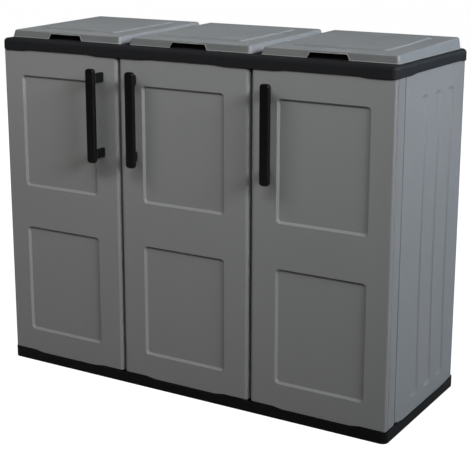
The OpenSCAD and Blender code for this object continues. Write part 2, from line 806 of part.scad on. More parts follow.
module lid_hinge_pins() {
    color(steel) for (x = lid_x, e = [-1, 1])
        translate([x + e * eye_out, hinge_y, hinge_z]) rotate([0, 90, 0])
            cylinder(h = 2 * pin_half, r = lid_pin_r, center = true);
}

// Ring that hangs in an opening and holds the rim of a bag
module bag_ring(x) {
    translate([x, mouth_my, body_h + collar_up]) difference() {
        union() {
            slab(mouth_w + 2 * collar_t, mouth_d + 2 * collar_t, ring_t, mouth_r + collar_t);
            translate([0, 0, -ring_h])
                slab(mouth_w - 2 * ring_gap, mouth_d - 2 * ring_gap, ring_h + over, mouth_r - ring_gap);
        }
        translate([0, 0, -ring_h - over])
            slab(mouth_w - 2 * ring_gap - 2 * ring_t, mouth_d - 2 * ring_gap - 2 * ring_t,
                 ring_h + ring_t + 2 * over, mouth_r - ring_gap - ring_t);
    }
}

module bag_ring_left() { color(black) bag_ring(-lid_pitch); }
module bag_ring_middle() { color(black) bag_ring(0); }
module bag_ring_right() { color(black) bag_ring(lid_pitch); }

base_tray();
top_frame();
side_panel_left();
side_panel_right();
divider_left();
divider_right();
back_panel_left();
back_panel_middle();
back_panel_right();
door_left();
door_middle();
door_right();
door_liner_left();
door_liner_middle();
door_liner_right();
handle_left();
handle_middle();
handle_right();
handle_screws_left();
handle_screws_middle();
handle_screws_right();
strike_plate_left();
strike_plate_middle();
strike_plate_right();
door_pivot_pins();
catch_magnets();
base_screws();
lid_left();
lid_middle();
lid_right();
lid_hinge_pins();
bag_ring_left();
bag_ring_middle();
bag_ring_right();
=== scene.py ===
"""Looks of an outdoor recycling cabinet, built round its packed construction.

Every visible moulding is a copy of its solid with the edges rounded as a mould leaves them.
The handles are modelled anew. All pieces get procedural finishes, and a plain studio with a
camera shows them. Lengths are in metres.
"""

import logging
import math
from collections.abc import Iterable
from dataclasses import dataclass, field
from enum import Enum

import bmesh
import bpy
from mathutils import Matrix, Vector


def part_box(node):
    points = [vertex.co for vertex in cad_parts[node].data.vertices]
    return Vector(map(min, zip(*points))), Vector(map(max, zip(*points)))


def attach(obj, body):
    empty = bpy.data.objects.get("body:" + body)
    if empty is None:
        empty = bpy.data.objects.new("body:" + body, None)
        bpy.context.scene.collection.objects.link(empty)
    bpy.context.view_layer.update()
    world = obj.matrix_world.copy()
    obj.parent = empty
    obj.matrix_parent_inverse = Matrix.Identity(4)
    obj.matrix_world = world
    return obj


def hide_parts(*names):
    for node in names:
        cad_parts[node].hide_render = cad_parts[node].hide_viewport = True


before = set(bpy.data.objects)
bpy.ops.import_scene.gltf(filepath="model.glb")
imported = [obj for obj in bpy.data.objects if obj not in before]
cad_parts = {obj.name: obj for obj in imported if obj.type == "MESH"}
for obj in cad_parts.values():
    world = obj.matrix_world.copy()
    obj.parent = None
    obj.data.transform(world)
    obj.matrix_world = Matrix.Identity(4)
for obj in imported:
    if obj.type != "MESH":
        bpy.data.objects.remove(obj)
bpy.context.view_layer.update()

log = logging.getLogger("cabinet")

Triple = tuple[float, float, float]
Rgba = tuple[float, float, float, float]
Socket = bpy.types.NodeSocket
Input = Socket | float | tuple[float, ...]
Edge = bmesh.types.BMEdge

CABINET = "cabinet"
MM = 0.001
WHITE: Rgba = (1.0, 1.0, 1.0, 1.0)

# Least cosine between two directions that count as parallel
PARALLEL = 0.999
# How strongly large faces pull the normals beside them, from 1 to 100
FLAT_FACE_WEIGHT = 80
# Mean value of a noise texture
NOISE_MEAN = 0.5


class Slot(Enum):
    """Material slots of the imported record."""

    GREY = "grey_plastic"
    BLACK = "black_plastic"
    STEEL = "steel"
    FERRITE = "ferrite"


class Side(Enum):
    """The three bays of the cabinet, seen from the front."""

    LEFT = "left"
    MIDDLE = "middle"
    RIGHT = "right"

    @property
    def door_body(self) -> str:
        """Name of the body that the door of this bay belongs to."""
        return f"{self.value}_door"

    @property
    def lid_body(self) -> str:
        """Name of the body that the lid of this bay belongs to."""
        return f"{self.value}_lid"


class Graph:
    """Adds and links the shader nodes of one node tree."""

    def __init__(self, tree: bpy.types.NodeTree) -> None:
        """Keeps the tree and empties it.

        Args:
            tree: Node tree of a material, a world or a node group.
        """
        self.tree = tree
        self.tree.nodes.clear()

    def add(self, kind: str, inputs: dict[str | int, Input] | None = None,
            **settings: object) -> bpy.types.Node:
        """Adds one node, sets its properties and fills its inputs.

        Args:
            kind: Type name of the node without the ShaderNode prefix.
            inputs: Input name or index to a constant, or to an output socket to link.
            settings: Properties of the node.

        Returns:
            The new node.
        """
        node = self.tree.nodes.new(kind if kind.startswith("NodeGroup") else f"ShaderNode{kind}")
        for name, value in settings.items():
            setattr(node, name, value)
        for key, value in (inputs or {}).items():
            if isinstance(value, Socket):
                self.tree.links.new(value, node.inputs[key])
            else:
                node.inputs[key].default_value = value
        return node

    def math(self, operation: str, a: Input, b: Input, clamp: bool = False) -> Socket:
        """Adds a Math node.

        Args:
            operation: Name of the operation.
            a: First operand, a number or a socket.
            b: Second operand, a number or a socket.
            clamp: Whether the result is kept between 0 and 1.

        Returns:
            The node's output socket.
        """
        return self.add("Math", {0: a, 1: b}, operation=operation, use_clamp=clamp).outputs[0]

    def times(self, a: Input, b: Input) -> Socket:
        """Multiplies two numbers or sockets."""
        return self.math("MULTIPLY", a, b)

    def ramp(self, value: Socket, low: float, high: float, to_low: float = 0.0) -> Socket:
        """Maps a value from one range to another and clamps it.

        Args:
            value: Socket to map.
            low: Value that becomes to_low.
            high: Value that becomes 1.
            to_low: Result at low.

        Returns:
            The mapped value.
        """
        inputs = {0: value, 1: low, 2: high, 3: to_low, 4: 1.0}
        return self.add("MapRange", inputs, clamp=True).outputs[0]

    def mix(self, factor: Input, a: Input, b: Input) -> Socket:
        """Mixes two colours.

        Args:
            factor: Share of b, a number or a socket.
            a: First colour.
            b: Second colour.

        Returns:
            The mixed colour.
        """
        return self.add("Mix", {0: factor, 6: a, 7: b}, data_type="RGBA").outputs[2]

    def noise(self, position: Socket, scale: Input, detail: float, roughness: float = 0.5,
              distortion: float = 0.0) -> Socket:
        """Adds a noise texture.

        Args:
            position: Coordinates.
            scale: Number of waves in a metre, a number or a socket.
            detail: Number of finer layers.
            roughness: Strength of the finer layers.
            distortion: How far the noise is pulled out of shape.

        Returns:
            The value of the noise.
        """
        return self.add("TexNoise", {"Vector": position, "Scale": scale, "Detail": detail,
                                     "Roughness": roughness, "Distortion": distortion}).outputs[0]

    def output(self, shader: bpy.types.Node, kind: str = "OutputMaterial") -> None:
        """Adds the output node of a material or a world and links the shader to it."""
        self.add(kind, {"Surface": shader.outputs[0]})


def rgba(colour: Triple) -> Rgba:
    """Adds full opacity to a linear colour."""
    return (*colour, 1.0)


def new_material(name: str) -> tuple[bpy.types.Material, Graph]:
    """Makes an empty material.

    Args:
        name: Name of the material.

    Returns:
        The material and the graph of its tree.
    """
    made = bpy.data.materials.new(name)
    made.use_nodes = True
    return made, Graph(made.node_tree)


@dataclass(frozen=True)
class Patches:
    """Soft patches that break up a mask.

    Attributes:
        scale: Number of waves in a metre.
        detail: Number of finer layers.
        roughness: Strength of the finer layers.
        limits: Values of the noise that become the least and the full strength.
        least: Least strength.
    """

    scale: float
    detail: float
    roughness: float
    limits: tuple[float, float]
    least: float = 0.0

    def place(self, graph: Graph, position: Socket) -> Socket:
        """Adds the patches.

        Args:
            graph: Graph to add them to.
            position: Coordinates.

        Returns:
            Their strength.
        """
        noise = graph.noise(position, self.scale, self.detail, self.roughness)
        return graph.ramp(noise, *self.limits, self.least)


class Effect:
    """A shader node group that several finishes share.

    Attributes:
        name: Name of the group.
        inputs: Name, type and default of each input.
        outputs: Name and type of each output.
    """

    name: str = "effect"
    inputs: tuple[tuple[str, str, float | None], ...] = ()
    outputs: tuple[tuple[str, str], ...] = ()

    def __init__(self) -> None:
        """Makes the node group with its sockets and fills it."""
        self.group = bpy.data.node_groups.new(self.name, "ShaderNodeTree")
        graph = Graph(self.group)
        for name, kind, default in self.inputs:
            socket = self.group.interface.new_socket(name, in_out="INPUT",
                                                     socket_type=f"NodeSocket{kind}")
            if default is not None:
                socket.default_value = default
        for name, kind in self.outputs:
            self.group.interface.new_socket(name, in_out="OUTPUT", socket_type=f"NodeSocket{kind}")
        given = graph.add("NodeGroupInput").outputs
        graph.add("NodeGroupOutput", self.fill(graph, given))

    def fill(self, graph: Graph, given: bpy.types.NodeOutputs) -> dict[str, Socket]:
        """Builds the nodes between the group's inputs and outputs.

        Args:
            graph: Graph of the group.
            given: Outputs of the group input node.

        Returns:
            What each output of the group is linked to.
        """
        raise NotImplementedError

    def place(self, graph: Graph, **inputs: Input) -> bpy.types.NodeOutputs:
        """Puts the group in a material.

        Args:
            graph: Graph of the material.
            inputs: Constants or sockets by input name.

        Returns:
            The outputs of the group node.
        """
        return graph.add("Group", inputs, node_tree=self.group).outputs


class MouldGrain(Effect):
    """Fine etched grain of a plastic mould: pebbles with a finer roughness on them.

    Attributes:
        pebble_height: Height gained with the distance from a pebble's middle.
        fine_scale: How many times finer the roughness is than the pebbles.
        fine_height: Height of the roughness.
        speck_limits: Values of the roughness where specks begin and are full.
    """

    name = "mould_grain"
    inputs = (("Position", "Vector", None), ("Pebble", "Float", 0.001))
    outputs = (("Height", "Float"), ("Speck", "Float"))
    pebble_height: float = -0.8
    fine_scale: float = 2.1
    fine_height: float = 0.5
    speck_limits: tuple[float, float] = (0.38, 0.62)

    def fill(self, graph: Graph, given: bpy.types.NodeOutputs) -> dict[str, Socket]:
        """Builds the grain. See Effect.fill."""
        scale = graph.math("DIVIDE", 1.0, given["Pebble"])
        pebbles = graph.add("TexVoronoi", {"Vector": given["Position"], "Scale": scale,
                                           "Randomness": 0.9}, feature="SMOOTH_F1")
        fine = graph.noise(given["Position"], graph.times(scale, self.fine_scale), detail=2.0,
                           roughness=0.55)
        height = graph.math("ADD", graph.times(pebbles.outputs["Distance"], self.pebble_height),
                            graph.times(fine, self.fine_height))
        return {"Height": height, "Speck": graph.ramp(fine, *self.speck_limits)}


class ColourDrift(Effect):
    """Slow and fine variation of a moulded colour, as flow and sunlight leave it.

    Attributes:
        cloud_share: Share of the clouds in the variation; upright streaks have the rest.
        cloud_limits: Values of the clouds that the mask of them runs between.
        streak_scale: How many times finer the streaks are than the clouds.
        streak_squeeze: Scale along Z that draws the streaks out.
        contrast: Change of brightness for a full change of the noise, per Amount.
    """

    name = "colour_drift"
    inputs = (("Position", "Vector", None), ("Colour", "Color", None), ("Amount", "Float", 0.05),
              ("Size", "Float", 0.3))
    outputs = (("Colour", "Color"), ("Cloud", "Float"))
    cloud_share: float = 0.75
    cloud_limits: tuple[float, float] = (0.35, 0.65)
    streak_scale: float = 9.0
    streak_squeeze: float = 0.12
    contrast: float = 4.0

    def fill(self, graph: Graph, given: bpy.types.NodeOutputs) -> dict[str, Socket]:
        """Builds the variation. See Effect.fill."""
        scale = graph.math("DIVIDE", 1.0, given["Size"])
        cloud = graph.noise(given["Position"], scale, detail=3.0, distortion=0.4)
        drawn_out = graph.add("Mapping", {"Vector": given["Position"],
                                          "Scale": (1.0, 1.0, self.streak_squeeze)}).outputs[0]
        streak = graph.noise(drawn_out, graph.times(scale, self.streak_scale), detail=2.0)
        both = graph.math("ADD", graph.times(cloud, self.cloud_share),
                          graph.times(streak, 1.0 - self.cloud_share))
        change = graph.times(graph.math("SUBTRACT", both, NOISE_MEAN),
                             graph.times(given["Amount"], self.contrast))
        shaded = graph.add("HueSaturation", {"Value": graph.math("ADD", 1.0, change),
                                             "Color": given["Colour"]}).outputs[0]
        return {"Colour": shaded, "Cloud": graph.ramp(cloud, *self.cloud_limits)}


class EdgeRub(Effect):
    """Mask of the corners that hands and weather rub bright.

    Attributes:
        turn_limits: Cosines of the turn across an edge where the rub begins and is full.
        patches: Patches in it.
    """

    name = "edge_rub"
    inputs = (("Position", "Vector", None), ("Reach", "Float", 0.002))
    outputs = (("Mask", "Float"),)
    turn_limits: tuple[float, float] = (0.995, 0.86)
    patches: Patches = Patches(28.0, 4.0, 0.65, (0.36, 0.62), 0.25)

    def fill(self, graph: Graph, given: bpy.types.NodeOutputs) -> dict[str, Socket]:
        """Builds the mask. See Effect.fill."""
        soft = graph.add("Bevel", {"Radius": given["Reach"]}, samples=4).outputs[0]
        straight = graph.add("NewGeometry").outputs["Normal"]
        turn = graph.add("VectorMath", {0: soft, 1: straight}, operation="DOT_PRODUCT")
        edge = graph.ramp(turn.outputs["Value"], *self.turn_limits)
        return {"Mask": graph.times(edge, self.patches.place(graph, given["Position"]))}


class SettledDust(Effect):
    """Mask of the dust that lies on what faces up and in the corners.

    Attributes:
        upward_limits: Upward part of the normal where dust begins and is full.
        upward_share: Strength of the dust on what faces up.
        nook_limits: Openness of a corner where dust begins and is full.
        nook_share: Strength of the dust in the corners.
        patches: Patches in it.
    """

    name = "settled_dust"
    inputs = (("Position", "Vector", None), ("Reach", "Float", 0.02))
    outputs = (("Mask", "Float"),)
    upward_limits: tuple[float, float] = (0.3, 1.0)
    upward_share: float = 0.55
    nook_limits: tuple[float, float] = (0.85, 0.35)
    nook_share: float = 0.6
    patches: Patches = Patches(14.0, 5.0, 0.6, (0.3, 0.7))

    def fill(self, graph: Graph, given: bpy.types.NodeOutputs) -> dict[str, Socket]:
        """Builds the mask. See Effect.fill."""
        facing = graph.add("SeparateXYZ", {0: graph.add("TexCoord").outputs["Normal"]})
        upward = graph.ramp(facing.outputs["Z"], *self.upward_limits)
        corner = graph.add("AmbientOcclusion", {"Distance": given["Reach"]}, samples=6)
        nook = graph.ramp(corner.outputs["AO"], *self.nook_limits)
        lying = graph.math("ADD", graph.times(upward, self.upward_share),
                           graph.times(nook, self.nook_share))
        patches = self.patches.place(graph, given["Position"])
        return {"Mask": graph.math("MULTIPLY", lying, patches, clamp=True)}


class PaintedFrontShade(Effect):
    """Mask of painted shade that darkens the faces looking to the front, patchy along the edge.

    Attributes:
        front_limits: Part of the normal along Y where the painted shade begins and is full.
        patches: Patches in it.
    """

    name = "painted_front_shade"
    inputs = (("Position", "Vector", None), ("Amount", "Float", 0.0))
    outputs = (("Mask", "Float"),)
    front_limits: tuple[float, float] = (-0.25, -0.95)
    patches: Patches = Patches(9.0, 4.0, 0.6, (0.35, 0.65), 0.8)

    def fill(self, graph: Graph, given: bpy.types.NodeOutputs) -> dict[str, Socket]:
        """Builds the mask. See Effect.fill."""
        facing = graph.add("SeparateXYZ", {0: graph.add("TexCoord").outputs["Normal"]})
        front = graph.ramp(facing.outputs["Y"], *self.front_limits)
        marks = graph.times(front, self.patches.place(graph, given["Position"]))
        return {"Mask": graph.times(marks, given["Amount"])}


@dataclass(frozen=True)
class EffectSet:
    """The effects that the finishes share, each built once."""

    grain: MouldGrain = field(default_factory=MouldGrain)
    drift: ColourDrift = field(default_factory=ColourDrift)
    rub: EdgeRub = field(default_factory=EdgeRub)
    dust: SettledDust = field(default_factory=SettledDust)
    # Painted shade for the faces that look to the front.
    front_shade: PaintedFrontShade = field(default_factory=PaintedFrontShade)


@dataclass(frozen=True)
class Finish:
    """What a surface looks like.

    Attributes:
        name: Name of the material.
        colour: Linear base colour.
        slot: Slot of the record that it belongs to; not used in this script.
        roughness: Mean roughness.
        roughness_spread: Full variation of the roughness.
        drift: Variation of the colour.
        drift_size: Size of the variation's clouds.
    """

    name: str
    colour: Triple
    slot: Slot = Slot.GREY
    roughness: float = 0.55
    roughness_spread: float = 0.1
    drift: float = 0.03
    drift_size: float = 0.25

    def material(self, effects: EffectSet) -> bpy.types.Material:
        """Builds the material.

        Args:
            effects: Shared node groups.

        Returns:
            The finished material.
        """
        made, graph = new_material(self.name)
        place = graph.add("TexCoord").outputs["Object"]
        drift = effects.drift.place(graph, Position=place, Colour=rgba(self.colour),
                                    Amount=self.drift, Size=self.drift_size)
        graph.output(self.shader(graph, place, drift, effects))
        return made

    def rough(self, graph: Graph, variation: Socket) -> Socket:
        """Finds the roughness from a value between 0 and 1 that varies it."""
        least = self.roughness - self.roughness_spread / 2
        return graph.math("ADD", least, graph.times(variation, self.roughness_spread))

    def shader(self, graph: Graph, place: Socket, drift: bpy.types.NodeOutputs,
               effects: EffectSet) -> bpy.types.Node:
        """Builds the shader.

        Args:
            graph: Graph of the material.
            place: Object coordinates.
            drift: Outputs of the colour drift.
            effects: Shared node groups.

        Returns:
            The shader node.
        """
        raise NotImplementedError


@dataclass(frozen=True)
class MouldedPlastic(Finish):
    """Injection-moulded plastic with an etched grain, grey unless told otherwise.

    Attributes:
        rub_colour: Linear colour of the rubbed edges and of the specks.
        dust_colour: Linear colour of the dust.
        specular: Specular level.
        pebble: Size of the grain's pebbles.
        grain_depth: Depth of the grain.
        rub: Strength of the rubbed edges.
        rub_reach: Width of the rubbed edges.
        speck: Strength of the specks.
        dust: Strength of the dust.
        dust_roughness: Roughness that full dust adds.
        front_shade: Strength of the painted shade on the faces that look to the front.
        front_shade_colour: Linear colour of that painted shade.
    """

    rub_colour: Triple = (0.3, 0.305, 0.31)
    dust_colour: Triple = (0.42, 0.41, 0.39)
    specular: float = 0.5
    pebble: float = 1.2 * MM
    grain_depth: float = 0.12 * MM
    rub: float = 0.35
    rub_reach: float = 2 * MM
    speck: float = 0.05
    dust: float = 0.12
    dust_roughness: float = 0.2
    front_shade: float = 0.0
    front_shade_colour: Triple = (0.02, 0.02, 0.02)

    def shader(self, graph: Graph, place: Socket, drift: bpy.types.NodeOutputs,
               effects: EffectSet) -> bpy.types.Node:
        """Builds the shader. See Finish.shader."""
        grain = effects.grain.place(graph, Position=place, Pebble=self.pebble)
        rub = effects.rub.place(graph, Position=place, Reach=self.rub_reach)["Mask"]
        dust = effects.dust.place(graph, Position=place)["Mask"]
        colour = graph.mix(graph.times(grain["Speck"], self.speck), drift["Colour"],
                           rgba(self.rub_colour))
        colour = graph.mix(graph.times(rub, self.rub), colour, rgba(self.rub_colour))
        colour = graph.mix(graph.times(dust, self.dust), colour, rgba(self.dust_colour))
        # Painted shade: the faces that look to the front are darkened, as if less light fell on
        # them.
        if self.front_shade:
            front_shade = effects.front_shade.place(graph, Position=place, Amount=self.front_shade)["Mask"]
            colour = graph.mix(front_shade, colour, rgba(self.front_shade_colour))
        rough = graph.math("ADD", self.rough(graph, drift["Cloud"]),
                           graph.times(dust, self.dust_roughness), clamp=True)
        bump = graph.add("Bump", {"Height": grain["Height"], "Distance": self.grain_depth})
        return graph.add("BsdfPrincipled", {"Base Color": colour, "Roughness": rough,
                                            "Normal": bump.outputs[0],
                                            "Specular IOR Level": self.specular})


@dataclass(frozen=True)
class PlatedSteel(Finish):
    """Zinc-plated steel with fine turning marks.

    Attributes:
        mark_scale: Number of turning marks in a metre.
        mark_depth: Depth of the turning marks.
    """

    name: str = "plated_steel"
    colour: Triple = (0.56, 0.57, 0.58)
    slot: Slot = Slot.STEEL
    roughness: float = 0.38
    roughness_spread: float = 0.2
    drift: float = 0.08
    drift_size: float = 10 * MM
    mark_scale: float = 700.0
    mark_depth: float = 0.02 * MM

    def shader(self, graph: Graph, place: Socket, drift: bpy.types.NodeOutputs,
               effects: EffectSet) -> bpy.types.Node:
        """Builds the shader. See Finish.shader."""
        marks = graph.add("TexWave", {"Vector": place, "Scale": self.mark_scale,
                                      "Distortion": 2.0, "Detail": 2.0}, bands_direction="Z")
        bump = graph.add("Bump", {"Height": marks.outputs[1], "Distance": self.mark_depth})
        return graph.add("BsdfPrincipled", {"Base Color": drift["Colour"], "Metallic": 1.0,
                                            "Roughness": self.rough(graph, drift["Cloud"]),
                                            "Normal": bump.outputs[0]})


@dataclass(frozen=True)
class GroundFerrite(Finish):
    """Dark sintered magnet, ground on its faces.

    Attributes:
        metallic: How metallic it is.
        grain_size: Size of the grains.
        grain_depth: Depth of the grains.
        chip: Strength of the chipped edges.
        chip_reach: Width of the chipped edges.
        chip_colour: Linear colour of the chipped edges.
    """

    name: str = "ground_ferrite"
    colour: Triple = (0.035, 0.034, 0.036)
    slot: Slot = Slot.FERRITE
    roughness: float = 0.52
    roughness_spread: float = 0.2
    drift: float = 0.2
    drift_size: float = 6 * MM
    metallic: float = 0.35
    grain_size: float = 0.6 * MM
    grain_depth: float = 0.05 * MM
    chip: float = 0.5
    chip_reach: float = 1 * MM
    chip_colour: Triple = (0.12, 0.12, 0.125)

    def shader(self, graph: Graph, place: Socket, drift: bpy.types.NodeOutputs,
               effects: EffectSet) -> bpy.types.Node:
        """Builds the shader. See Finish.shader."""
        grain = effects.grain.place(graph, Position=place, Pebble=self.grain_size)
        edges = effects.rub.place(graph, Position=place, Reach=self.chip_reach)["Mask"]
        colour = graph.mix(graph.times(edges, self.chip), drift["Colour"], rgba(self.chip_colour))
        bump = graph.add("Bump", {"Height": grain["Height"], "Distance": self.grain_depth})
        return graph.add("BsdfPrincipled", {"Base Color": colour, "Metallic": self.metallic,
                                            "Roughness": self.rough(graph, grain["Speck"]),
                                            "Normal": bump.outputs[0]})


class Finishes:
    """The finishes of the cabinet, built once and handed to its pieces."""

    def __init__(self) -> None:
        """Builds the shared effects and every material."""
        black = dict(slot=Slot.BLACK, rub_colour=(0.035, 0.036, 0.039),
                     dust_colour=(0.1, 0.098, 0.095), rub=0.25, speck=0.04)
        self.panel_grey: Finish = MouldedPlastic("panel_grey", (0.197, 0.205, 0.209))
        self.door_grey: Finish = MouldedPlastic("door_grey", (0.193, 0.2, 0.203), roughness=0.5)
        # Painted shade: the lids' grey is darker than the panel and door greys, standing in for
        # less light on the lids, and their front faces get more painted shade on top.
        self.lid_grey: Finish = MouldedPlastic(
            "lid_grey", (0.172, 0.182, 0.187), roughness=0.52, dust=0.2, front_shade=0.46)
        self.rim_grey: Finish = MouldedPlastic("rim_grey", (0.2, 0.21, 0.215), roughness=0.5)
        self.inside_grey: Finish = MouldedPlastic(
            "inside_grey", (0.19, 0.197, 0.2), roughness=0.6, grain_depth=0.06 * MM, rub=0.15,
            dust=0.25)
        self.frame_black: Finish = MouldedPlastic(
            "frame_black", (0.0098, 0.0103, 0.0116), roughness=0.64, pebble=0.9 * MM,
            grain_depth=0.05 * MM, specular=0.22, dust=0.05, **black)
        self.base_black: Finish = MouldedPlastic(
            "base_black", (0.0014, 0.0014, 0.0015), roughness=0.46, pebble=0.9 * MM,
            grain_depth=0.05 * MM, specular=0.14, dust=0.02, **black)
        self.handle_black: Finish = MouldedPlastic(
            "handle_black", (0.002, 0.002, 0.0023), roughness=0.4, pebble=0.7 * MM,
            grain_depth=0.03 * MM, specular=0.24, dust=0.04, **black)
        self.ring_black: Finish = MouldedPlastic(
            "ring_black", (0.006, 0.006, 0.0066), roughness=0.5, specular=0.3, dust=0.05, **black)
        self.steel: Finish = PlatedSteel()
        self.ferrite: Finish = GroundFerrite()
        effects = EffectSet()
        self._materials = {finish.name: finish.material(effects)
                           for finish in vars(self).values()}

    def dress(self, piece: bpy.types.Object, finish: Finish, body: str) -> None:
        """Gives a piece its material and the body that it moves with.

        Args:
            piece: Object to dress.
            finish: Finish to use.
            body: Name of the body.
        """
        piece.data.materials.clear()
        piece.data.materials.append(self._materials[finish.name])
        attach(piece, body)
        log.info("%s: %d faces, %s, rides on %s", piece.name, len(piece.data.polygons),
                 finish.name, body)

    def repaint(self, node: str, finish: Finish) -> None:
        """Gives a construction solid that stays its material.

        Args:
            node: Name of the node.
            finish: Finish to use.
        """
        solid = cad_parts[node]
        solid.data.materials.clear()
        solid.data.materials.append(self._materials[finish.name])
        log.info("%s keeps its solid, %s", node, finish.name)


def new_piece(name: str, mesh: bmesh.types.BMesh) -> bpy.types.Object:
    """Turns a bmesh into a linked object at the origin.

    Args:
        name: Name of the piece.
        mesh: Finished bmesh, which is freed.

    Returns:
        The object.
    """
    data = bpy.data.meshes.new(name)
    mesh.to_mesh(data)
    mesh.free()
    piece = bpy.data.objects.new(name, data)
    bpy.context.scene.collection.objects.link(piece)
    return piece


def smooth_by_weight(piece: bpy.types.Object) -> None:
    """Shades rounded edges smoothly and keeps flat faces flat."""
    piece.data.shade_smooth()
    weighted = piece.modifiers.new("flat_faces", "WEIGHTED_NORMAL")
    weighted.mode = "FACE_AREA"
    weighted.weight = FLAT_FACE_WEIGHT
    weighted.keep_sharp = True


def round_edges(mesh: bmesh.types.BMesh, edges: Iterable[Edge], radius: float,
                segments: int) -> None:
    """Rounds some edges.

    Args:
        mesh: Mesh to change.
        edges: Edges to round.
        radius: Radius of the rounding.
        segments: Number of strips across it.
    """
    bmesh.ops.bevel(mesh, geom=list(edges), offset=radius, offset_type="OFFSET", affect="EDGES",
                    segments=segments, profile=0.5, material=-1, clamp_overlap=True)


@dataclass
class SoftMoulding:
    """Copy of a solid whose sharp edges are rounded.

    Attributes:
        node: Name of the construction node.
        radius: Radius of the rounding.
        segments: Number of strips across a rounding.
        sharp: Least angle between two faces whose edge is rounded, in degrees.
        weld: Distance under which corners become one.
        flat: Angle under which two faces become one, in degrees.
    """

    node: str
    radius: float = 0.8 * MM
    segments: int = 2
    sharp: float = 17.0
    weld: float = 0.01 * MM
    flat: float = 0.2

    def build(self) -> bpy.types.Object:
        """Builds the copy and lets it stand for the node.

        Returns:
            The new piece.
        """
        mesh = bmesh.new()
        mesh.from_mesh(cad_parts[self.node].data)
        bmesh.ops.remove_doubles(mesh, verts=mesh.verts, dist=self.weld)
        bmesh.ops.dissolve_limit(mesh, angle_limit=math.radians(self.flat), verts=mesh.verts,
                                 edges=mesh.edges)
        self.shape(mesh)
        limit = math.radians(self.sharp)
        sharp_edges = [edge for edge in mesh.edges
                       if len(edge.link_faces) == 2 and edge.calc_face_angle() > limit]
        round_edges(mesh, sharp_edges, self.radius, self.segments)
        piece = new_piece(f"{self.node}_moulding", mesh)
        smooth_by_weight(piece)
        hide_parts(self.node)
        return piece

    def shape(self, mesh: bmesh.types.BMesh) -> None:
        """Changes the copy before its edges are rounded; a plain moulding needs nothing."""


@dataclass
class LippedPanel(SoftMoulding):
    """Side panel whose front edge has a lip that nearly closes the seam to the door.

    Attributes:
        lip_t: Thickness of the lip.
        lip_out: How far the lip stands out of the panel's front edge.
    """

    lip_t: float = 3.2 * MM
    lip_out: float = 2.1 * MM

    def shape(self, mesh: bmesh.types.BMesh) -> None:
        """Draws the lip out of the front face. See SoftMoulding.shape."""
        low, high = (Vector(corner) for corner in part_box(self.node))
        cut_x = high.x - self.lip_t if high.x > 0 else low.x + self.lip_t
        front = [face for face in mesh.faces if face.normal.y < -PARALLEL
                 and abs(face.calc_center_median().y - low.y) < self.weld]
        verts = {vert for face in front for vert in face.verts}
        edges = {edge for face in front for edge in face.edges}
        cut = bmesh.ops.bisect_plane(mesh, geom=[*verts, *edges, *front], plane_co=(cut_x, 0, 0),
                                     plane_no=(1, 0, 0))
        strips = [item for item in cut["geom"] if isinstance(item, bmesh.types.BMFace)
                  and abs(item.calc_center_median().x) > abs(cut_x)]
        for face in bmesh.ops.extrude_discrete_faces(mesh, faces=strips)["faces"]:
            bmesh.ops.translate(mesh, verts=face.verts, vec=(0, -self.lip_out, 0))


def joined(meshes: list[bmesh.types.BMesh]) -> bmesh.types.BMesh:
    """Puts several meshes into one, with their faces in an order that is the same in each run.

    Args:
        meshes: Meshes to join, which are freed.

    Returns:
        The joined mesh.
    """
    whole = bmesh.new()
    for mesh in meshes:
        mesh.verts.index_update()
        rings = [[vert.index for vert in face.verts] for face in mesh.faces]
        firsts = [ring.index(min(ring)) for ring in rings]
        verts = [whole.verts.new(vert.co) for vert in mesh.verts]
        for ring in sorted(ring[first:] + ring[:first] for ring, first in zip(rings, firsts)):
            whole.faces.new([verts[k] for k in ring])
        mesh.free()
    return whole


def block(low: Vector, high: Vector) -> bmesh.types.BMesh:
    """Makes a box between two corners.

    Args:
        low: Lowest corner.
        high: Highest corner.

    Returns:
        The box.
    """
    mesh = bmesh.new()
    stretch = Matrix.Diagonal((*(high - low), 1.0))
    bmesh.ops.create_cube(mesh, size=1.0, matrix=Matrix.Translation((low + high) / 2) @ stretch)
    return mesh


def runs_in_depth(edge: Edge) -> bool:
    """Tells whether an edge is parallel to the Y axis."""
    way = (edge.verts[1].co - edge.verts[0].co).normalized()
    return abs(way.y) > PARALLEL


